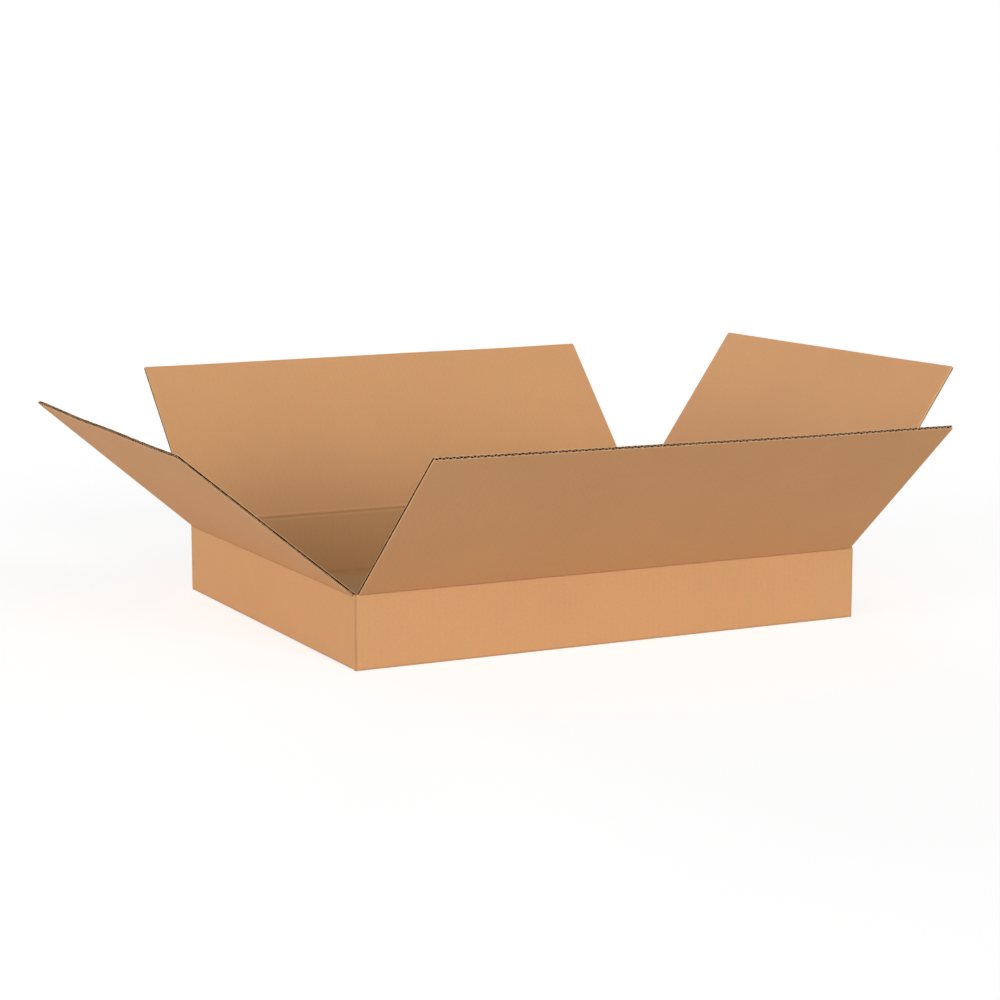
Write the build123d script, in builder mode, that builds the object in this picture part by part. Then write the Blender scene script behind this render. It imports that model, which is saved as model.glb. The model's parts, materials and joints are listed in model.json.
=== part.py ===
from build123d import *
from math import hypot, radians, tan
import os

# A shallow corrugated carton of the slotted kind, set up with its bottom closed and its four top flaps
# folded outward. Millimetres and degrees. The origin is the centre of the base, on the surface the
# carton stands on, with +X along the length, +Y to the back and +Z up.

# Corrugated board: two flat liners with a wavy medium between them.
board = 4.0
liner = 0.4
medium = 0.4
flute_pitch = 7.69
crest_width = 1.1  # flat where a wave of the medium is glued to a liner

# Box
outer_length = 643.0
outer_width = 516.0
major_score_height = 85.2
fold_radius = 3.0
closing_gap = 0.2  # between the closed minor flaps and the major flaps over them
slot_clearance = 0.6  # between the side of a flap and the inner face of the wall beside it
slot_depth = 1.0  # how far the slots are cut past the major scores
base_seam = 0.5  # where the major bottom flaps meet
top_seam = 0.8  # where the major top flaps meet when they are closed
end_wall_lift = 1.5  # the end walls' lower folds stay this far off the surface

# Glued joint lap, inside the rear right corner
lap_width = 35.0
lap_taper = 7.0
lap_clearance = 0.8
lap_set_back = 0.5  # the cut end of the back wall stops this far short of the right wall's face

# Top scores: the board is crushed to a bead that turns in a shallow seat
bead_radius = 0.8
crease_gap = 0.3
inner_shoulder_angle = 46.5
outer_shoulder_angle = 55.0
crush_length = 1.6  # the flutes are crushed shut this far past the shoulders

# Top flaps as they stand open, measured outward from upright
front_open_angle = 49.4
back_open_angle = 45.7
left_open_angle = 50.5
right_open_angle = 34.6

half_length = outer_length / 2
half_width = outer_width / 2
outer_fold = min(fold_radius, 0.9 * board)
minor_score_height = major_score_height - board - closing_gap
major_half_side = half_length - board - slot_clearance
major_wall_half_side = major_half_side + crease_gap
minor_half_side = half_width - board - slot_clearance
top_flap_length = half_width - board / 2 - top_seam / 2
bottom_flap_length = half_width - board / 2 - base_seam / 2
inner_shoulder = board / 2 * tan(radians(inner_shoulder_angle))
outer_shoulder = board / 2 * tan(radians(outer_shoulder_angle))

up = Vector(0, 0, 1)


def hinge_plane(outward, reach, height, opened=0.0):
    """Plane across a score: its X leads out of the board's outer face, its Y up along the board."""
    score = Axis((0, 0, 0), outward.cross(up))
    return Plane(
        origin=outward * reach + up * height,
        x_dir=outward.rotate(score, -opened),
        z_dir=score.direction,
    )


front_side = Vector(0, -1, 0)
back_side = Vector(0, 1, 0)
left_side = Vector(-1, 0, 0)
right_side = Vector(1, 0, 0)
major_reach = half_width - board / 2
minor_reach = half_length - board / 2


def seat_cut():
    """Round seat in the top of a wall, one crease gap larger than the bead that turns in it."""
    Circle(bead_radius + crease_gap, mode=Mode.SUBTRACT)


# Front and back walls, each folded into the major bottom flap under it.
with BuildPart() as box_body:
    for outward in (front_side, back_side):
        with BuildSketch(hinge_plane(outward, major_reach, major_score_height)):
            with BuildLine():
                Polyline(
                    (0, 0),
                    (board / 2, -outer_shoulder),
                    (board / 2, -major_score_height),
                    (-bottom_flap_length, -major_score_height),
                    (-bottom_flap_length, board - major_score_height),
                    (-board / 2, board - major_score_height),
                    (-board / 2, -inner_shoulder),
                    close=True,
                )
            make_face()
            lower_fold = vertices().group_by(Axis.X)[-1].sort_by(Axis.Y)[0]
            fillet(lower_fold, outer_fold)
            seat_cut()
        extrude(amount=major_wall_half_side, both=True)

    # End walls and the minor bottom flaps, which lie on the major ones.
    end_wall_foot = end_wall_lift - minor_score_height
    flap_underside = board - minor_score_height
    for outward in (left_side, right_side):
        wall_plane = hinge_plane(outward, minor_reach, minor_score_height)
        with BuildSketch(wall_plane):
            with BuildLine():
                Polyline(
                    (0, 0),
                    (board / 2, -outer_shoulder),
                    (board / 2, end_wall_foot),
                    (-board / 2, end_wall_foot),
                    (-board / 2, -inner_shoulder),
                    close=True,
                )
            make_face()
            lower_fold = vertices().group_by(Axis.X)[-1].sort_by(Axis.Y)[0]
            fillet(lower_fold, outer_fold)
            seat_cut()
        extrude(amount=half_width - board, both=True)
        with BuildSketch(wall_plane):
            with Locations((-board / 2, flap_underside)):
                Rectangle(bottom_flap_length - board / 2, board, align=(Align.MAX, Align.MIN))
        extrude(amount=minor_half_side, both=True)

    # Corner folds, closed at the slots. The cut end of the back wall is square.
    with BuildSketch(Plane.XY.offset(slot_depth)):
        Rectangle(outer_length, outer_width)
        folded = vertices().sort_by(lambda corner: corner.X + corner.Y)[:3]
        fillet(folded, outer_fold)
        Rectangle(2 * major_wall_half_side, outer_width, mode=Mode.SUBTRACT)
        Rectangle(outer_length, outer_width - 2 * board, mode=Mode.SUBTRACT)
        with Locations((half_length, half_width)):
            Rectangle(2 * lap_set_back, 2 * board, mode=Mode.SUBTRACT)
    extrude(amount=major_score_height - 2 * slot_depth)

    # The right wall turns into the joint lap, so a groove shows beside the cut end of the back wall.
    with BuildSketch(Plane.XY):
        with Locations((half_length, half_width - board)):
            Rectangle(outer_fold, outer_fold, align=(Align.MAX, Align.MAX))
        with Locations((half_length - outer_fold, half_width - board - outer_fold)):
            Circle(outer_fold, mode=Mode.SUBTRACT)
    extrude(amount=minor_score_height, mode=Mode.SUBTRACT)

    # Joint lap, glued to the inner face of the back wall.
    lap_root = half_length - board
    lap_foot = 2 * board + lap_clearance
    lap_head = minor_score_height - board / 2 - lap_clearance
    with BuildSketch(Plane.XZ.offset(board - half_width)):
        with BuildLine():
            Polyline(
                (lap_root, lap_foot),
                (lap_root, lap_head),
                (lap_root - lap_width, lap_head - lap_taper),
                (lap_root - lap_width, lap_foot + lap_taper),
                close=True,
            )
        make_face()
    extrude(amount=board)

# Voids of the corrugated section, each a trapezoid between the medium and one liner.
wave_rise = board - 2 * liner - medium
wave_run = flute_pitch / 2 - crest_width
lean = wave_run / wave_rise
half_skew = medium * hypot(wave_rise, wave_run) / (2 * wave_rise)
narrow_half = crest_width / 2 + lean * medium / 2 - half_skew
wide_half = crest_width / 2 + lean * (wave_rise + medium / 2) - half_skew
open_face = board / 2 - liner
crest_face = open_face - medium


def top_flap(outward, reach, height, half_side, opened):
    """One top flap: a corrugated panel from its crushed score to its cut outer edge."""
    section = hinge_plane(outward, reach, height, opened)
    along = section.y_dir
    outer_edge = Plane(
        origin=section.origin + along * top_flap_length, x_dir=section.z_dir, z_dir=along
    )
    with BuildPart() as flap:
        with BuildSketch(section):
            with BuildLine():
                Polyline(
                    (0, 0),
                    (board / 2, outer_shoulder),
                    (board / 2, top_flap_length),
                    (-board / 2, top_flap_length),
                    (-board / 2, inner_shoulder),
                    close=True,
                )
            make_face()
            Circle(bead_radius)
        extrude(amount=half_side, both=True)

        # The pattern runs past both sides, so a side is cut through a wave as a slitter cuts it.
        waves = int(2 * half_side / flute_pitch) + 2
        with BuildSketch(outer_edge):
            for row, count in ((1, waves), (-1, waves - 1)):
                with GridLocations(flute_pitch, board, count, 1):
                    Polygon(
                        (-wide_half, row * open_face),
                        (wide_half, row * open_face),
                        (narrow_half, -row * crest_face),
                        (-narrow_half, -row * crest_face),
                        align=None,
                    )
        flute_length = top_flap_length - outer_shoulder - crush_length
        extrude(amount=-flute_length, mode=Mode.SUBTRACT)
    return flap.part


major_score = (major_reach, major_score_height, major_half_side)
minor_score = (minor_reach, minor_score_height, minor_half_side)
front_flap = top_flap(front_side, *major_score, front_open_angle)
back_flap = top_flap(back_side, *major_score, back_open_angle)
left_flap = top_flap(left_side, *minor_score, left_open_angle)
right_flap = top_flap(right_side, *minor_score, right_open_angle)

os.makedirs("parts", exist_ok=True)
box_body.part.label = "box_body"
export_step(box_body.part, "parts/box_body.step")
for flap, label in (
    (front_flap, "front_flap"),
    (back_flap, "back_flap"),
    (left_flap, "left_flap"),
    (right_flap, "right_flap"),
):
    flap.label = label
    export_step(flap, f"parts/{label}.step")
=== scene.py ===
import json
import math

import bpy
import numpy as np
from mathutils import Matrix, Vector


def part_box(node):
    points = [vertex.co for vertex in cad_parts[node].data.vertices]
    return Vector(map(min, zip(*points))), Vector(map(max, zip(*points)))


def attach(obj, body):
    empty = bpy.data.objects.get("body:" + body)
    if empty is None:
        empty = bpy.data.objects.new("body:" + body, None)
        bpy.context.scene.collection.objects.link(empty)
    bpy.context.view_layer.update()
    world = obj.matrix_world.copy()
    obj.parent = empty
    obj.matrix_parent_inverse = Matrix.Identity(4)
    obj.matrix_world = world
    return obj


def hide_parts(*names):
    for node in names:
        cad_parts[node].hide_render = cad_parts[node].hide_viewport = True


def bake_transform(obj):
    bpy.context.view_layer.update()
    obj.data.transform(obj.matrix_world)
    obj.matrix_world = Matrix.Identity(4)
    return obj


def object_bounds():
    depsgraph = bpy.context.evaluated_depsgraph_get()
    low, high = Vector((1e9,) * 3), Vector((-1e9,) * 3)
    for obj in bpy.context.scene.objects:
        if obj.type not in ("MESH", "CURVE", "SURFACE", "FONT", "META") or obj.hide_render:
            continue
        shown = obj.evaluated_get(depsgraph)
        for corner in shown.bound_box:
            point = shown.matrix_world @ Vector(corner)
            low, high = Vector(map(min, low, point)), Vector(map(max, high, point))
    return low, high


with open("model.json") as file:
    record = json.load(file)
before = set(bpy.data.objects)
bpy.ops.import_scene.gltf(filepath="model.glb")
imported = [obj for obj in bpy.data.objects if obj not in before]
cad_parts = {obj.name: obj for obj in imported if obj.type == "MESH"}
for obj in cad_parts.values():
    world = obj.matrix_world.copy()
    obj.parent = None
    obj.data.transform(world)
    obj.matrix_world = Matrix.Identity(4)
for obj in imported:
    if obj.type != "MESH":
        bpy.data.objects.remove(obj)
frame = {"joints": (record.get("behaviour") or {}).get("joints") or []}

# A shallow corrugated carton with its bottom closed and its four top flaps folded outward. The
# walls and flaps are built from their paper: two liners with a wavy medium between them, cut open
# at every edge. Metres, in the frame's axes: +X along the length, +Y to the back, +Z up.

cad_low, cad_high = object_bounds()

MM = 0.001
UP = np.array((0.0, 0.0, 1.0))

# Paper
board = 4.0 * MM
liner = 0.3 * MM
medium = 0.25 * MM
flute_pitch = 7.69 * MM
first_phase = -0.46  # sets where in a wave the slots cut the board
phase_drift = ((0.16, 13.1 * MM, 1.0), (0.11, 4.7 * MM, 0.0))  # size, run and start of each
washboard = 0.03 * MM  # how far a liner sinks between the crests that it is glued to
liner_burr = 0.05  # how much thicker a sheet gets for each unit of fraying
medium_burr = 2.2
crest_burr = 0.1  # how far the medium's crests fray, against the legs between them
edge_burr = 0.6  # fraying of the flaps' outer edges, which the slitter cut
side_burr = 0.27  # of their sides, which the slots' knives cut
corner_burr = 1.3  # and at a slot's end, where the knife crushed the corner almost shut
fray_reach = 1.2 * MM  # how far in from a cut it shows
corner_crease = 1.6  # how strongly a corner's score darkens the outer liner, partly as crushed paper and partly as painted shade, against a top crease
corner_crush = 0.35  # how much thinner the board is there
liner_columns = 4  # mesh columns for each flute
medium_columns = 8
hidden_medium_columns = 6  # in the walls and the bottom

# Folds
corner_radius = 2.0 * MM
foot_radius = 1.2 * MM
inner_radius = 0.5 * MM
fold_reach = board + inner_radius
lap_width = 35.0 * MM
lap_taper = 7.0 * MM
lap_set_back = 0.5 * MM
flap_clearance = 0.6 * MM  # between the side of a short flap and the wall beside it
long_flap_clearance = 0.1 * MM

# Walls: from the bottom folds up to the seams where the top flaps' own pieces begin
corner_foot = 0.2 * MM
corner_top = 83.4 * MM
short_wall_lift = 0.4 * MM
long_seam = 80.0 * MM
short_seam = 78.0 * MM
long_foot_seam = 8.0 * MM
short_foot_seam = 9.5 * MM

# Top creases, drawn together from the joints' heights so that they meet at the corners
long_crease = 84.0 * MM
short_crease = 82.4 * MM
bend_half = 2.0 * MM

body_low, body_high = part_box("box_body")
half_length = body_high.x
half_width = body_high.y
joints = {joint["name"]: joint for joint in frame["joints"]}
smooth_angle = 40  # degrees, past which an edge stays sharp


class Side:
    """One wall of the carton, with the flaps that fold from it.

    The wall's outer face is at its depth from the middle of the carton, and its corners are a half
    span either way. The blank starts at the cut end of the back wall and runs on past the left,
    front and right.
    """

    def __init__(self, name, outward, depth, half_span, blank_start, is_long):
        self.name = name
        self.outward = np.array(outward, float)
        self.along = np.cross(UP, self.outward)
        self.depth = depth
        self.half_span = half_span
        self.blank_middle = blank_start + half_span
        self.is_long = is_long
        self.half_side = half_span - fold_reach - long_flap_clearance
        if not is_long:
            self.half_side = half_span - board - flap_clearance
        self.seam = long_seam if is_long else short_seam
        self.foot_seam = long_foot_seam if is_long else short_foot_seam
        self.crease = long_crease if is_long else short_crease
        self.joint = joints[name + "_fold"]
        folded_in = math.radians(self.joint["range_deg"][0])
        self.open_angle = -folded_in - math.pi / 2  # outward from upright


back = Side("back", (0, 1, 0), half_width, half_length, 0, True)
left = Side("left", (-1, 0, 0), half_length, half_width, 2 * half_length, False)
front = Side("front", (0, -1, 0), half_width, half_length, 2 * (half_length + half_width), True)
right = Side("right", (1, 0, 0), half_length, half_width, 4 * half_length + 2 * half_width, False)


def smoothstep(x):
    x = np.clip(x, 0, 1)
    return x * x * (3 - 2 * x)


def bump(distance, width):
    return np.exp(-((distance / width) ** 2))


def fraying(distance):
    """How frayed the paper is at a distance from a cut."""
    return np.exp(-distance / fray_reach)


def unit(vectors):
    return vectors / np.linalg.norm(vectors, axis=-1, keepdims=True)


def flute_phase(blank_u):
    """Phase of the medium's wave along the blank."""
    drift = sum(size * np.sin(blank_u / run + start) for size, run, start in phase_drift)
    return 2 * np.pi * blank_u / flute_pitch + first_phase + drift


class Panel:
    """A stretch of board: grids of outer and inner points, and what the finish needs to know."""

    def __init__(
        self,
        outer,
        inner,
        blank_u,
        blank_v,
        crease=0.0,
        inner_crease=0.0,
        wear=0.0,
        burr=0.0,
        near_side_cut=0.0,
        inside=0.0,
    ):
        shape = outer.shape[:2]
        self.outer = outer
        self.inner = inner
        self.blank_u = np.broadcast_to(blank_u, shape)
        self.blank_v = np.broadcast_to(blank_v, shape)
        self.crease = np.broadcast_to(crease, shape)
        self.inner_crease = np.broadcast_to(inner_crease, shape)
        self.wear = np.broadcast_to(wear, shape)
        self.burr = np.broadcast_to(burr, shape)
        self.near_side_cut = np.broadcast_to(near_side_cut, shape)
        self.inside = np.broadcast_to(inside, shape)


FACE, CUT, VOID = 0, 1, 2  # material slots of every piece
OUTER, INNER, MIDDLE = 0.1, 0.3, 0.5  # third coordinate of a sheet's place on the blank


class Sheets:
    """Closed paper sheets gathered into one mesh."""

    def __init__(self):
        self.points = []
        self.quads = []
        self.kinds = []
        self.blank = []
        self.crease = []
        self.wear = []
        self.near_side_cut = []
        self.inside = []
        self.count = 0

    def add_sheet(self, panel, upper, lower, upper_kind, lower_kind, layer):
        """A closed sheet between two grids of points, whose upper side faces out of the carton."""
        nu, nv = upper.shape[:2]
        top = self.count + np.arange(nu * nv).reshape(nu, nv)
        low = top + nu * nv
        loops = (
            ((top[:-1, :-1], top[1:, :-1], top[1:, 1:], top[:-1, 1:]), upper_kind),
            ((low[:-1, :-1], low[:-1, 1:], low[1:, 1:], low[1:, :-1]), lower_kind),
            ((top[:-1, 0], low[:-1, 0], low[1:, 0], top[1:, 0]), CUT),
            ((top[:-1, -1], top[1:, -1], low[1:, -1], low[:-1, -1]), CUT),
            ((top[0, :-1], top[0, 1:], low[0, 1:], low[0, :-1]), CUT),
            ((top[-1, :-1], low[-1, :-1], low[-1, 1:], top[-1, 1:]), CUT),
        )
        for corners, kind in loops:
            quads = np.stack([corner.ravel() for corner in corners], axis=1)
            self.quads.append(quads)
            self.kinds.append(np.full(len(quads), kind))
        blank = np.stack((panel.blank_u, panel.blank_v, np.full((nu, nv), layer)), axis=2)
        crease = panel.inner_crease if layer == INNER else panel.crease
        # The painted shade tint of the closed part goes on the inner liner only
        inside = panel.inside * (layer == INNER)
        for points in (upper, lower):
            self.points.append(points.reshape(-1, 3))
            self.blank.append(blank.reshape(-1, 3))
            self.crease.append(crease.ravel())
            self.wear.append(panel.wear.ravel())
            self.near_side_cut.append(panel.near_side_cut.ravel())
            self.inside.append(inside.ravel())
        self.count += 2 * nu * nv

    def add_board(self, for_liners, for_medium):
        """Two liners on one grid and the medium on another, of the same stretch of board."""
        through = unit(for_liners.outer - for_liners.inner)
        wave = np.sin(flute_phase(for_liners.blank_u))[..., None]
        outer = for_liners.outer - through * washboard * (1 - wave) / 2
        inner = for_liners.inner + through * washboard * (1 + wave) / 2
        paper = through * liner * (1 + liner_burr * for_liners.burr[..., None])
        self.add_sheet(for_liners, outer, outer - paper, FACE, VOID, OUTER)
        self.add_sheet(for_liners, inner + paper, inner, VOID, FACE, INNER)

        span = for_medium.outer - for_medium.inner
        thickness = np.linalg.norm(span, axis=2, keepdims=True)
        through = span / thickness
        phase = flute_phase(for_medium.blank_u)[..., None]
        wave = np.sin(phase)
        swing = thickness / 2 - liner - medium / 2 - washboard
        middle = (for_medium.outer + for_medium.inner) / 2 + through * swing * wave
        along_wave = unit(np.gradient(middle, axis=0))
        across = unit(through - along_wave * np.sum(through * along_wave, axis=2, keepdims=True))
        leg = crest_burr + (1 - crest_burr) * np.cos(phase) ** 2
        paper = across * medium * (1 + medium_burr * for_medium.burr[..., None] * leg)
        self.add_sheet(for_medium, middle + paper / 2, middle - paper / 2, VOID, VOID, MIDDLE)

    def make(self, name):
        mesh = bpy.data.meshes.new(name)
        points = np.concatenate(self.points)
        quads = np.concatenate(self.quads)
        mesh.vertices.add(len(points))
        mesh.vertices.foreach_set("co", points.astype(np.float32).ravel())
        mesh.loops.add(quads.size)
        mesh.loops.foreach_set("vertex_index", quads.astype(np.int32).ravel())
        mesh.polygons.add(len(quads))
        mesh.polygons.foreach_set("loop_start", np.arange(0, quads.size, 4, dtype=np.int32))
        mesh.polygons.foreach_set("material_index", np.concatenate(self.kinds).astype(np.int32))
        mesh.update(calc_edges=True)
        blank = mesh.attributes.new("blank", "FLOAT_VECTOR", "POINT")
        blank.data.foreach_set("vector", np.concatenate(self.blank).astype(np.float32).ravel())
        for key in ("crease", "wear", "near_side_cut", "inside"):
            values = np.concatenate(getattr(self, key))
            attribute = mesh.attributes.new(key, "FLOAT", "POINT")
            attribute.data.foreach_set("value", values.astype(np.float32))
        mesh.validate()
        mesh.set_sharp_from_angle(angle=math.radians(smooth_angle))
        piece = bpy.data.objects.new(name, mesh)
        bpy.context.scene.collection.objects.link(piece)
        for material in (kraft_face, kraft_cut, flute_shade_material):
            mesh.materials.append(material)
        return piece


def grid_points(along_shift, outward_shift, height, side):
    """Points of a side from grids of three shifts: along its wall, outward, and up."""
    shape = np.broadcast_shapes(np.shape(along_shift), np.shape(outward_shift), np.shape(height))
    parts = ((along_shift, side.along), (outward_shift, side.outward), (height, UP))
    return sum(np.broadcast_to(shift, shape)[..., None] * axis for shift, axis in parts)


def spaced(low, high, step):
    """Values from low to high about a step apart."""
    return np.linspace(low, high, max(2, int(round((high - low) / step)) + 1))


def fold(corner, first, second, share, outer_radius):
    """Outer and inner points round a square fold whose outer faces would meet at the corner."""
    corner, first, second = (np.array(vector, float) for vector in (corner, first, second))
    share = np.asarray(share, float)[:, None]
    straight = fold_reach - outer_radius
    arc = outer_radius * math.pi / 2
    run = share * (2 * straight + arc)
    turn = np.clip((run - straight) / arc, 0, 1) * math.pi / 2
    before = np.clip(run, 0, straight) - straight
    after = np.clip(run - straight - arc, 0, straight)
    outer = corner + outer_radius * (second - first) + before * first + after * second
    outer = outer + outer_radius * (first * np.sin(turn) - second * np.cos(turn))
    turn = share * math.pi / 2
    inner = corner + fold_reach * (second - first)
    inner = inner + inner_radius * (first * np.sin(turn) - second * np.cos(turn))
    return outer, inner


# Top flaps

bend_rows = (0.4, 0.8, 1.2, 1.7, 2.3, 3.0)
crease_rows = np.array((*(-row for row in reversed(bend_rows)), 0, *bend_rows, 4.5)) * MM
panel_rows = np.array((8.0, 20.0, 50.0, 100.0, 150.0, 200.0, 235.0, 249.0)) * MM
edge_rows = np.array((3.0, 1.6, 0.7, 0.0)) * MM
edge_margin = 0.3 * MM  # between a flap's outer edge and the reach of the CAD model
bend_steps = 81

# The crease presses the outer face in at the bend, with a low swell on the wall below it
outer_dent = 1.25 * MM
swell = 0.12 * MM
swell_place = -3.0 * MM
dent_width = 1.0 * MM

# The inner face sinks gently below the bend and rises again above it
inner_dent = 1.0 * MM
inner_dent_start = -3.9 * MM
inner_dent_fall = 3.4 * MM
inner_dent_rise = 2.6 * MM

# Colour of the crease: a darker line, partly crushed paper and partly painted shade. On the inner
# face a dark line of crushed paper and painted shade lies in the bend, and a painted highlight
# line above it.
crease_mark_width = 1.3 * MM
inner_light_and_shade_marks = ((1.2, -0.2 * MM, 1.2 * MM), (-0.5, 2.4 * MM, 1.1 * MM))  # strength, place and width
inside_shade_start = 2.5 * MM  # below the crease, where the painted shade tint of the closed part of the carton begins

# Unevenness of the panel and of its edges
wobble = 0.25 * MM
wobble_waves = (3, 0.2, 0.5)  # how many, and the shortest and the longest
edge_crush = 0.05  # how much thinner the slitter left the board, and how far that varies
edge_crush_swing = 0.03
edge_crush_waves = (8, 0.006, 0.05)
edge_crush_width = 1.2 * MM
pinch_width = 1.6 * MM
pinch_rise = 6.0 * MM  # height above the crease where a side's pinch is full
nick_height = 2.5 * MM


def bend_profile(rows, angle, crease_height):
    """Middle line of the board through a crease: outward shift, height and turn at each row."""
    fine = np.linspace(-bend_half, bend_half, bend_steps)
    turn = angle * smoothstep((fine + bend_half) / (2 * bend_half))
    step = fine[1] - fine[0]
    shift = np.concatenate(([0], np.cumsum((np.sin(turn[1:]) + np.sin(turn[:-1])) / 2 * step)))
    rise = np.concatenate(([0], np.cumsum((np.cos(turn[1:]) + np.cos(turn[:-1])) / 2 * step)))
    foot = crease_height - rise[-1] + shift[-1] / math.tan(angle)
    past = np.clip(rows - bend_half, 0, None)
    before = np.clip(rows + bend_half, None, 0)
    outward_shift = np.interp(rows, fine, shift) + past * math.sin(angle)
    height = foot + before + np.interp(rows, fine, rise) + past * math.cos(angle)
    turn = angle * smoothstep((rows + bend_half) / (2 * bend_half))
    return outward_shift, height, turn


def crease_cut(angle):
    """How much the board's middle line saves on the two straight lines that meet at the crease."""
    rows = np.array((-bend_half, bend_half))
    shift, _, _ = bend_profile(rows, angle, 0)
    return shift[1] / math.sin(angle) - bend_half


def uneven(seed, u, waves, shortest, longest):
    """A smooth random line of about unit height along u."""
    random = np.random.default_rng(seed)
    total = np.zeros_like(u)
    for _ in range(waves):
        length = shortest * (longest / shortest) ** random.random()
        total += np.sin(2 * np.pi * u / length + random.uniform(0, 2 * np.pi))
    return total / math.sqrt(waves / 2)


class Flap:
    """A top flap: how it twists, bows and is crushed."""

    def __init__(self, side, twist, bow, seed, nicks=(), pinch=0.16):
        self.side = side
        self.twist = twist  # degrees that its two ends are open more or less than the joint says
        self.bow = bow
        self.seed = seed
        self.nicks = nicks  # place along the outer edge, depth as a share of the board, and width
        self.pinch = pinch  # how much thinner the slotting knives left the board along its sides
        sine, cosine = math.sin(side.open_angle), math.cos(side.open_angle)
        corners = np.array(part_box(side.name + "_flap"))
        far = np.abs(corners @ side.outward).max()
        outward_reach = (far - board / 2 * cosine - (side.depth - board / 2)) / sine
        upward_reach = (cad_high[2] - board / 2 * sine - side.crease) / cosine
        self.length = min(outward_reach, upward_reach) - edge_margin

    def panel(self, columns):
        """Grids of the flap and the strip of wall under its crease."""
        side = self.side
        ends = [side.open_angle + math.radians(extra) for extra in self.twist]
        angle = sum(ends) / 2
        _, height, _ = bend_profile(np.zeros(1), angle, side.crease)
        first_row = side.seam - height[0]
        reach = self.length - crease_cut(angle)
        rows = np.concatenate(((first_row,), crease_rows, panel_rows, reach - edge_rows))
        u = spaced(-side.half_side, side.half_side, flute_pitch / columns)[:, None]
        v = rows[None, :]
        share = (u + side.half_side) / (2 * side.half_side)
        low, high = (bend_profile(rows, end, side.crease) for end in ends)
        shift, height, turn = (a * (1 - share) + b * share for a, b in zip(low, high))
        height[:, 0] = side.seam

        middle = side.depth - board / 2 + shift
        outer_half, inner_half = self.halves(u, v, reach)
        outer_shift, outer_drop = outer_half * np.cos(turn), outer_half * np.sin(turn)
        inner_shift, inner_lift = inner_half * np.cos(turn), inner_half * np.sin(turn)
        from_side = side.half_side - np.abs(u)
        from_edge = np.clip(reach - v, 0, None)
        side_fray, edge_fray = fraying(from_side), fraying(from_edge)
        return Panel(
            grid_points(u, middle + outer_shift, height - outer_drop, side),
            grid_points(u, middle - inner_shift, height + inner_lift, side),
            side.blank_middle + u,
            side.crease + v,
            crease=bump(v, crease_mark_width),
            inner_crease=sum(mark * bump(v - place, width) for mark, place, width in inner_light_and_shade_marks),
            wear=np.maximum(side_fray, edge_fray),
            burr=np.maximum(side_burr * side_fray, edge_burr * edge_fray),
            near_side_cut=side_fray,
            inside=smoothstep(-v / inside_shade_start),
        )

    def halves(self, u, v, reach):
        """How far the outer and the inner face lie from the middle of the board."""
        from_side = self.side.half_side - np.abs(u)
        crush = 1 - self.pinch * bump(from_side, pinch_width) * smoothstep(v / pinch_rise)
        edge = edge_crush + edge_crush_swing * uneven(self.seed + 1, u, *edge_crush_waves)
        crush = crush - np.clip(edge, 0, None) * bump(reach - v, edge_crush_width)
        for place, depth, width in self.nicks:
            crush = crush - depth * bump(u - place, width) * bump(reach - v, nick_height)

        reached = np.clip(v / reach, 0, 1)
        bowed = self.bow * (0.5 - (u / self.side.half_side) ** 2) * reached**2
        bowed = bowed + wobble * uneven(self.seed, u, *wobble_waves) * reached

        outer_half = board / 2 * crush + bowed
        outer_half = outer_half - outer_dent * bump(v, dent_width)
        outer_half = outer_half + swell * bump(v - swell_place, dent_width)
        sunk = smoothstep((v - inner_dent_start) / inner_dent_fall)
        sunk = sunk * (1 - smoothstep(v / inner_dent_rise))
        inner_half = board / 2 * crush - bowed - inner_dent * sunk
        return outer_half, inner_half

    def build(self):
        side = self.side
        sheets = Sheets()
        sheets.add_board(self.panel(liner_columns), self.panel(medium_columns))
        piece = sheets.make(side.name + "_flap_board")
        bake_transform(piece)
        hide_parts(side.name + "_flap")


# Walls and joint lap: one strip from the cut end of the back wall round to the lap's free edge

step_gap = 0.05 * MM  # between the two columns at a step in the walls' height
corner_shares = np.linspace(0, 1, 17)[1:-1]
corner_crush_width = 0.22  # widths round a corner are shares of its fold
corner_crease_width = 0.17
wall_rows = np.array((0.0, 0.25, 0.5, 0.75, 0.96, 1.0))


class Strip:
    """Columns of the walls in order along the blank."""

    def __init__(self):
        self.outer = []
        self.inner = []
        self.blank_u = []
        self.low = []
        self.high = []
        self.crease = []
        self.burr = []

    def add(self, outer, inner, blank_u, low, high, crease=0.0, burr=0.0):
        count = len(outer)
        self.outer.append(outer)
        self.inner.append(inner)
        self.blank_u.append(blank_u)
        columns = ((self.low, low), (self.high, high), (self.crease, crease), (self.burr, burr))
        for values, value in columns:
            values.append(np.broadcast_to(value, count))

    def straight(self, side, low_u, high_u, step, low, high):
        u = spaced(low_u, high_u, step)
        outer = grid_points(u, side.depth, 0.0, side)
        inner = grid_points(u, side.depth - board, 0.0, side)
        self.add(outer, inner, side.blank_middle + u, low, high)

    def corner(self, corner, first, second, blank_corner, low, high):
        outer, inner = fold(corner, first, second, corner_shares, corner_radius)
        crush = corner_crush * bump(corner_shares - 0.5, corner_crush_width)
        inner = inner + (outer - inner) * crush[:, None]
        blank_u = blank_corner + fold_reach * (2 * corner_shares - 1)
        # The corner's score line: partly crushed paper, partly painted shade
        crease = corner_crease * bump(corner_shares - 0.5, corner_crease_width)
        self.add(outer, inner, blank_u, low, high, crease, burr=1.0)


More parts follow.
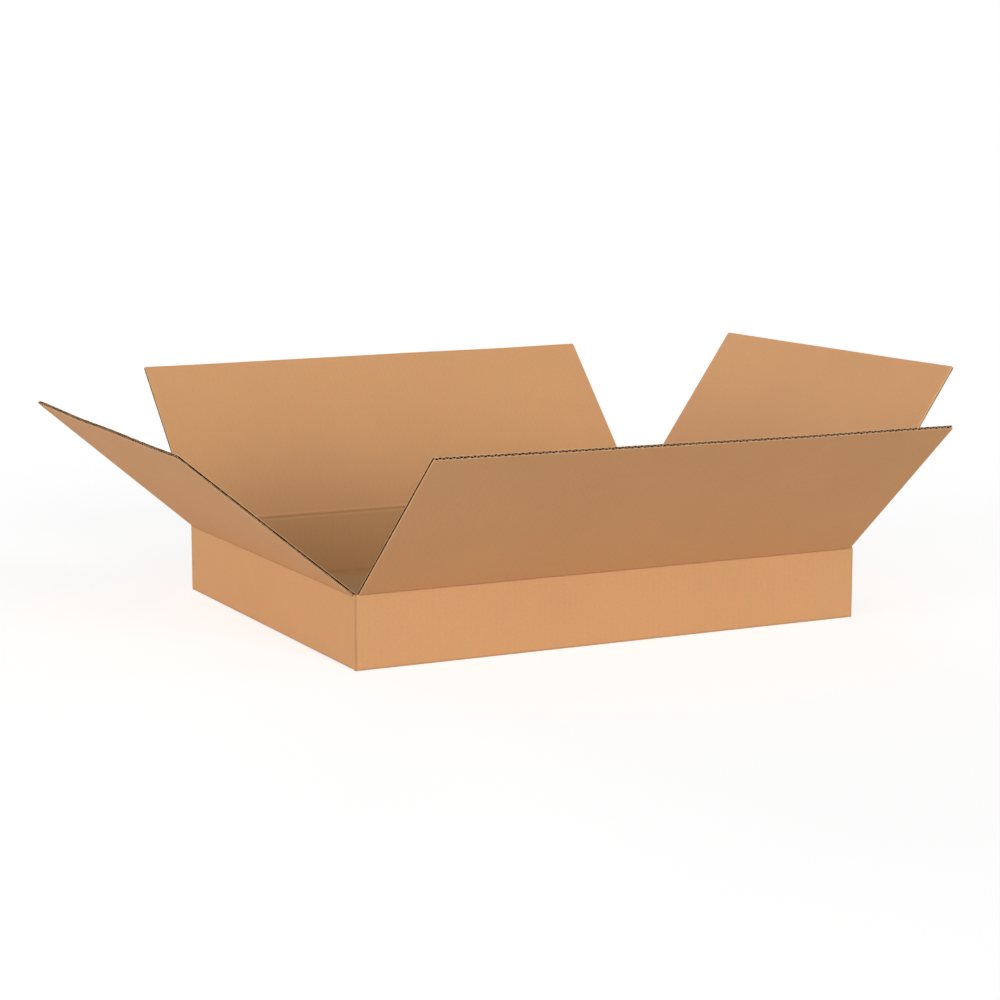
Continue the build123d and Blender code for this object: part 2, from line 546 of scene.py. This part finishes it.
def wall_panel(columns):
    """Grids of the whole strip.

    The back wall's cut end and the three folded corners stand up to the slots' ends, and the walls
    between them end at the seams with the flaps' own pieces.
    """
    step = flute_pitch / columns
    strip = Strip()
    corner_heights = (corner_foot, corner_top)
    for side, after in ((back, left), (left, front), (front, right), (right, None)):
        reach = side.half_span - fold_reach
        start = -reach
        end = reach if after else reach - board
        heights = (side.foot_seam, side.seam)
        if side is back:
            cut_end = -(side.half_span - lap_set_back)
            strip.straight(side, cut_end, start - step_gap, step, *corner_heights)
        else:
            strip.straight(side, start - step_gap, start - step_gap / 2, step, *corner_heights)
        strip.straight(side, start, end, step, *heights)
        if after:
            strip.straight(side, end + step_gap, end + 1.5 * step_gap, step, *corner_heights)
            corner = side.outward * side.depth + after.outward * after.depth
            blank_corner = side.blank_middle + side.half_span
            strip.corner(corner, side.along, after.along, blank_corner, *corner_heights)

    # The right wall turns once more, into the lap behind the back wall
    corner = right.outward * half_length + back.outward * (half_width - board)
    blank_corner = right.blank_middle + right.half_span - board
    strip.corner(corner, right.along, back.along, blank_corner, right.foot_seam, right.seam)
    run = spaced(fold_reach, board + lap_width, step)
    outer = corner + run[:, None] * back.along
    taper = lap_taper * (run - fold_reach) / (lap_width - inner_radius)
    low = right.foot_seam + taper
    high = right.seam - taper
    strip.add(outer, outer - right.along * board, blank_corner + run, low, high)

    outer, inner = np.concatenate(strip.outer), np.concatenate(strip.inner)
    low, high = np.concatenate(strip.low), np.concatenate(strip.high)
    height = low[:, None] + (high - low)[:, None] * wall_rows
    lift = height[..., None] * UP
    crushed = np.concatenate(strip.burr)[:, None] * (wall_rows == 1)
    return Panel(
        outer[:, None, :] + lift,
        inner[:, None, :] + lift,
        np.concatenate(strip.blank_u)[:, None],
        height,
        crease=np.concatenate(strip.crease)[:, None],
        wear=crushed,
        burr=crushed * corner_burr,
        inside=1.0,
    )


def fit_to_box(piece):
    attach(piece, "box")
    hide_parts("box_body")


def build_walls():
    sheets = Sheets()
    sheets.add_board(wall_panel(liner_columns), wall_panel(hidden_medium_columns))
    fit_to_box(sheets.make("carton_walls"))


# Bottom flaps, each with the fold at the foot of its wall

fold_shares = np.linspace(0, 1, 9)
bottom_rows = np.array((4.0, 12.0, 40.0, 100.0, 160.0, 220.0, 240.0)) * MM
bottom_edge_row = 1.0 * MM
short_flap_height = board
bottom_flap_end = 2.25 * MM  # from half the box's width: half the board and half the seam
# The foot's crease is a darker line too, partly crushed paper and partly painted shade
foot_crease_width = 0.2  # as a share of the fold
inner_foot_crease = 0.35  # against the outer liner's


def bottom_panel(side, columns):
    """Grids of a bottom flap, from the seam on its wall round the fold to the free edge."""
    u = spaced(-side.half_side, side.half_side, flute_pitch / columns)[:, None]
    inward = -side.outward
    foot = 0.0 if side.is_long else short_wall_lift
    underside = 0.0 if side.is_long else short_flap_height
    face = side.outward * side.depth
    outer, _ = fold(face + UP * foot, -UP, inward, fold_shares, foot_radius)
    _, inner = fold(face + UP * underside, -UP, inward, fold_shares, foot_radius)
    inset = side.depth - outer @ side.outward
    lift = (underside - foot) * smoothstep((inset - foot_radius) / (fold_reach - foot_radius))
    outer = outer + lift[:, None] * UP
    length = half_width - bottom_flap_end
    run = np.concatenate((bottom_rows, (length - bottom_edge_row, length)))
    flat_outer = face + underside * UP + (board / 2 + run)[:, None] * inward
    seam = face + side.foot_seam * UP
    path_outer = np.concatenate(((seam,), outer, flat_outer))
    path_inner = np.concatenate(((seam + board * inward,), inner, flat_outer + board * UP))
    path_v = np.concatenate(
        (
            (side.foot_seam,),
            foot + fold_reach * (1 - 2 * fold_shares),
            foot - board / 2 - run,
        )
    )
    crease = np.concatenate(((0,), bump(fold_shares - 0.5, foot_crease_width), np.zeros(len(run))))
    along = u[..., None] * side.along
    from_cut = np.minimum(side.half_side - np.abs(u), (path_v - path_v[-1])[None, :])
    return Panel(
        along + path_outer[None],
        along + path_inner[None],
        side.blank_middle + u,
        path_v[None, :],
        crease=crease[None, :],
        inner_crease=inner_foot_crease * crease[None, :],
        wear=fraying(from_cut),
        inside=1.0,
    )


def build_bottom(name, pair):
    sheets = Sheets()
    for side in pair:
        for_medium = bottom_panel(side, hidden_medium_columns)
        sheets.add_board(bottom_panel(side, liner_columns), for_medium)
    fit_to_box(sheets.make(name))


# Materials


class Nodes:
    """Short ways to add and link shader nodes."""

    def __init__(self, owner, output="ShaderNodeOutputMaterial"):
        owner.use_nodes = True
        self.tree = owner.node_tree
        self.tree.nodes.clear()
        self.surface = self.tree.nodes.new(output).inputs["Surface"]

    def add(self, kind, inputs=None, **settings):
        node = self.tree.nodes.new(kind)
        for key, value in settings.items():
            setattr(node, key, value)
        for key, value in (inputs or {}).items():
            self.feed(node.inputs[key], value)
        return node

    def feed(self, socket, value):
        if isinstance(value, bpy.types.NodeSocket):
            self.tree.links.new(value, socket)
        else:
            socket.default_value = value

    def feed_all(self, kind, *values, **settings):
        """Adds a node and feeds its sockets in order."""
        node = self.add(kind, **settings)
        for socket, value in zip(node.inputs, values):
            self.feed(socket, value)
        return node.outputs[0]

    def math(self, operation, *values):
        return self.feed_all("ShaderNodeMath", *values, operation=operation)

    def attribute(self, name, output="Fac"):
        settings = {"attribute_type": "GEOMETRY", "attribute_name": name}
        return self.add("ShaderNodeAttribute", **settings).outputs[output]

    def grey(self, value):
        inputs = {"Red": value, "Green": value, "Blue": value}
        return self.add("ShaderNodeCombineColor", inputs).outputs[0]

    def shown_rays(self):
        """One for the rays that show a thing in the picture, nought for those that carry light."""
        path = self.add("ShaderNodeLightPath").outputs
        shown = self.math("MAXIMUM", path["Is Camera Ray"], path["Is Glossy Ray"])
        return self.math("MAXIMUM", shown, path["Is Transmission Ray"])

    def mix(self, kind, factor, a, b):
        node = self.add("ShaderNodeMix", data_type="RGBA", blend_type=kind)
        self.feed(node.inputs[0], factor)
        self.feed(node.inputs[6], a)
        self.feed(node.inputs[7], b)
        return node.outputs[2]

    def noise(self, place, scale, detail=2.0, roughness=0.5, distortion=0.0):
        """Noise of a scale, or of three scales along the blank, up it and from sheet to sheet."""
        if isinstance(scale, tuple):
            place = self.feed_all("ShaderNodeVectorMath", place, scale, operation="MULTIPLY")
            scale = 1.0
        inputs = {"Vector": place, "Scale": scale, "Detail": detail}
        inputs |= {"Roughness": roughness, "Distortion": distortion}
        return self.add("ShaderNodeTexNoise", inputs).outputs["Fac"]

    def ramp(self, value, low, high, to_low=0.0, to_high=1.0):
        inputs = {"Value": value, "From Min": low, "From Max": high}
        inputs |= {"To Min": to_low, "To Max": to_high}
        return self.add("ShaderNodeMapRange", inputs).outputs["Result"]


def tinted(colour, tint):
    return tuple(channel * factor for channel, factor in zip(colour, tint))


# Scales of the paper's texture, in waves a metre
cloud_scale = 9.0
blotch_scale = 75.0
grain_scale = 420.0
fibre_scale = (260, 1900, 400)
cross_fibre_scale = (1500, 420, 700)
fleck_scale = (700, 1300, 500)
lint_and_mouth_light_scale = (95, 210, 0)

# Stretches of a noise that a ramp spreads out
broad = (0.3, 0.7)
steep = (0.25, 0.75)
high_peaks = (0.74, 0.8)
low_peaks = (0.26, 0.2)
lit_tuft_peaks = (0.54, 0.60)

# How far each layer lightens and darkens the paper
cloud_depth = 0.015
grain_depth = 0.035
fibre_depth = 0.05
cross_fibre_depth = 0.03
washboard_shades = (0.994, 1.004)
warm_blotch = (1.015, 0.985, 0.97)
pale_blotch = (0.985, 1.015, 1.03)
dark_fleck = 0.86
light_fleck = 1.09
crease_light_and_shade = (1.1, 0.6)  # a painted highlight for marks of strength -0.5, crushed paper and painted shade for 2
worn_shade = 1.1

relief = 0.12 * MM
relief_strength = 0.35
fibre_relief = 0.6
grain_relief = 0.4
roughness_range = (0.74, 0.86)
crease_roughness = 0.08


def kraft(name, base, contrast=1.0, fine=1.0, lint_and_mouth_light=None, gloss=0.25):
    """Kraft paper: fibres laid along the machine direction, blotches, flecks and a washboard, with
    painted shade and highlight at the creases, a painted shade tint in the closed part and painted
    light in tufts at the flutes' mouths.
    """
    material = bpy.data.materials.new(name)
    nodes = Nodes(material)
    place = nodes.attribute("blank", "Vector")
    crease = nodes.attribute("crease")

    clouds = nodes.noise(place, cloud_scale, 3.0, 0.55)
    blotches = nodes.noise(place, blotch_scale, 4.0, 0.6, 0.4)
    grain = nodes.noise(place, grain_scale, 3.0, 0.65)
    fibres = nodes.noise(place, fibre_scale, 3.0, 0.6, 0.9)
    cross_fibres = nodes.noise(place, cross_fibre_scale, 2.0, 0.6, 1.2)
    flecks = nodes.noise(place, fleck_scale, 1.0, 0.5, 0.5)

    warm = (*tinted(base, warm_blotch), 1)
    pale = (*tinted(base, pale_blotch), 1)
    colour = nodes.mix("MIX", nodes.ramp(blotches, *broad), warm, pale)
    depth = cloud_depth * contrast
    shades = [nodes.ramp(clouds, *broad, 1 - depth, 1 + depth)]
    layers = ((grain, grain_depth), (fibres, fibre_depth), (cross_fibres, cross_fibre_depth))
    for layer, depth in layers:
        depth = depth * contrast * fine
        shades.append(nodes.ramp(layer, *steep, 1 - depth, 1 + depth))
    along = nodes.add("ShaderNodeSeparateXYZ", {"Vector": place}).outputs["X"]
    stripes = nodes.math("SINE", nodes.math("MULTIPLY", along, 2 * math.pi / flute_pitch))
    shades.append(nodes.ramp(stripes, -1, 1, *washboard_shades))
    shades.append(nodes.ramp(flecks, *high_peaks, 1.0, dark_fleck))
    shades.append(nodes.ramp(flecks, *low_peaks, 1.0, light_fleck))
    # Creases: a painted highlight below a mark of nought, crushed paper and painted shade above it
    shades.append(nodes.ramp(crease, -0.5, 2.0, *crease_light_and_shade))
    shades.append(nodes.ramp(nodes.attribute("wear"), 0.2, 1.0, 1.0, worn_shade))
    value = shades[0]
    for shade in shades[1:]:
        value = nodes.math("MULTIPLY", value, shade)
    colour = nodes.mix("MULTIPLY", 1.0, colour, nodes.grey(value))
    # Painted shade: a darker, less red tint on the inner faces of the closed part
    colour = nodes.mix("MULTIPLY", nodes.attribute("inside"), colour, (*inside_shade_tint, 1))
    # Painted light at the flutes' mouths by the side cuts: lighter tufts, partly fibre lint
    if lint_and_mouth_light:
        lit_tufts = nodes.ramp(nodes.noise(place, lint_and_mouth_light_scale, 1.0), *lit_tuft_peaks)
        lit_tufts = nodes.math("MULTIPLY", lit_tufts, nodes.ramp(nodes.attribute("near_side_cut"), *broad))
        colour = nodes.mix("MIX", lit_tufts, colour, (*lint_and_mouth_light, 1))

    height = nodes.math("MULTIPLY", fibres, fibre_relief)
    for layer in (grain, cross_fibres):
        height = nodes.math("ADD", height, nodes.math("MULTIPLY", layer, grain_relief))
    inputs = {"Strength": relief_strength, "Distance": relief, "Height": height}
    normal = nodes.add("ShaderNodeBump", inputs).outputs["Normal"]
    rough = nodes.ramp(blotches, *broad, *roughness_range)
    rough = nodes.math("ADD", rough, nodes.math("MULTIPLY", crease, crease_roughness))
    inputs = {"Base Color": colour, "Roughness": rough, "Normal": normal}
    inputs["Specular IOR Level"] = gloss
    shader = nodes.add("ShaderNodeBsdfPrincipled", inputs)
    nodes.feed(nodes.surface, shader.outputs[0])
    return material


kraft_colour = (0.605, 0.32, 0.145)
inside_shade_tint = (0.93, 1.03, 1.06)  # painted shade: the closed part's inner faces are coloured a little darker and less red, for the shade inside the carton
lint_and_mouth_light_tint = (0.5, 0.5, 0.5)  # of the flutes' mouths by the side cuts, in tufts: partly fibre lint, partly painted light where light reaches into the painted-dark flutes; against the liners
cut_colour = (0.82, 0.52, 0.30)  # paler, where the fibres stand open
flute_shade_colour = (0.045, 0.009, 0.003)  # the medium's darker paper, and mostly painted shade: the flutes' faces are coloured near black for their depth, which little light reaches
kraft_face = kraft("kraft_face", kraft_colour)
kraft_cut = kraft("kraft_cut_edge", cut_colour, 1.6, 1.5)
lint_and_mouth_light_colour = tinted(kraft_colour, lint_and_mouth_light_tint)
# Painted shade in the flutes, with lighter tufts at their mouths
flute_shade_material = kraft("kraft_flute_painted_shade", flute_shade_colour, 2.0, lint_and_mouth_light=lint_and_mouth_light_colour, gloss=0.0)

front_nick = (-176 * MM, 0.4, 1.2 * MM)
front_flap = Flap(front, twist=(-1.2, 0.0), bow=1.1 * MM, seed=11, nicks=(front_nick,))
back_flap = Flap(back, twist=(-1.2, 0.0), bow=0.2 * MM, seed=23)
left_flap = Flap(left, twist=(-0.9, 0.0), bow=1.0 * MM, seed=37)
right_flap = Flap(right, twist=(0.0, 0.0), bow=0.3 * MM, seed=41, pinch=0.42)
for flap in (front_flap, back_flap, left_flap, right_flap):
    flap.build()
build_walls()
build_bottom("long_bottom_flaps", (front, back))
build_bottom("short_bottom_flaps", (left, right))


# Floor, light and camera

white = (1.0, 1.0, 1.0, 1)
floor_size = 20.0
floor_drop = 0.2 * MM  # keeps the floor clear of the carton's base
floor_shade = 0.75
seen_floor_shade = 0.42  # what the camera sees takes less tint from the kraft


def build_floor():
    mesh = bpy.data.meshes.new("floor")
    corners = ((-floor_size, -floor_size), (floor_size, -floor_size))
    corners += ((floor_size, floor_size), (-floor_size, floor_size))
    mesh.from_pydata([(x, y, -floor_drop) for x, y in corners], [], [(0, 1, 2, 3)])
    floor = bpy.data.objects.new("floor", mesh)
    bpy.context.scene.collection.objects.link(floor)
    material = bpy.data.materials.new("pale_floor")
    nodes = Nodes(material)
    shown = nodes.shown_rays()
    shade = nodes.ramp(shown, 0.0, 1.0, floor_shade, seen_floor_shade)
    surface = nodes.add("ShaderNodeBsdfDiffuse", {"Color": nodes.grey(shade)}).outputs[0]
    strength = nodes.math("MULTIPLY", shown, floor_glow)
    glow = nodes.add("ShaderNodeEmission", {"Color": white, "Strength": strength}).outputs[0]
    nodes.feed(nodes.surface, nodes.feed_all("ShaderNodeAddShader", surface, glow))
    mesh.materials.append(material)


def build_world():
    """The world lights the carton with its fill and shows itself as plain white."""
    world = bpy.data.worlds.new("studio")
    bpy.context.scene.world = world
    nodes = Nodes(world, "ShaderNodeOutputWorld")
    fill = nodes.add("ShaderNodeBackground", {"Color": white, "Strength": world_fill}).outputs[0]
    backdrop = nodes.add("ShaderNodeBackground", {"Color": white}).outputs[0]
    mixed = nodes.feed_all("ShaderNodeMixShader", nodes.shown_rays(), fill, backdrop)
    nodes.feed(nodes.surface, mixed)


def sun(name, azimuth, elevation, spread, level):
    """A wide soft light from far off. Azimuth 0 is in front of the carton and 90 to its right.

    Returns how much light it adds on the floor.
    """
    lamp = bpy.data.lights.new(name, "SUN")
    lamp.angle = math.radians(spread)
    lamp.energy = level * math.pi
    holder = bpy.data.objects.new(name, lamp)
    turn, rise = math.radians(azimuth), math.radians(elevation)
    flat = math.cos(rise)
    towards = Vector((math.sin(turn) * flat, -math.cos(turn) * flat, math.sin(rise)))
    holder.rotation_euler = towards.to_track_quat("Z", "Y").to_euler()
    bpy.context.scene.collection.objects.link(holder)
    return level * math.sin(rise)


# Each lamp's azimuth, elevation and spread in degrees, and its level
world_fill = 0.25
floor_level = world_fill
floor_level += sun("left_light", -80, 6, 30, 0.63)
floor_level += sun("front_left_light", -42, 8, 30, 0.18)
floor_level += sun("front_light", 0, 6, 30, 0.15)
floor_level += sun("high_light", 8, 20, 28, 0.37)
floor_level += sun("right_light", 80, 6, 30, 0.2)
floor_level += sun("back_light", 180, 10, 30, 0.45)
floor_level += sun("top_light", 0, 75, 80, 0.06)
floor_glow = 1.0 - seen_floor_shade * floor_level  # brings the floor up to the backdrop's white
build_floor()
build_world()

picture_width = 1000  # pixels
camera_focal = 2493.8  # pixels
camera_yaw = -26.760  # degrees
camera_pitch = 9.028
camera_place = (-1.3629, -2.6679, 0.6033)
camera = bpy.data.objects.new("camera", bpy.data.cameras.new("camera"))
bpy.context.scene.collection.objects.link(camera)
camera.data.sensor_width = 36
camera.data.lens = camera_focal * camera.data.sensor_width / picture_width
camera.location = camera_place
camera.rotation_euler = (math.radians(90 - camera_pitch), 0, math.radians(camera_yaw))
bpy.context.scene.camera = camera
bpy.context.scene.view_settings.view_transform = "Standard"
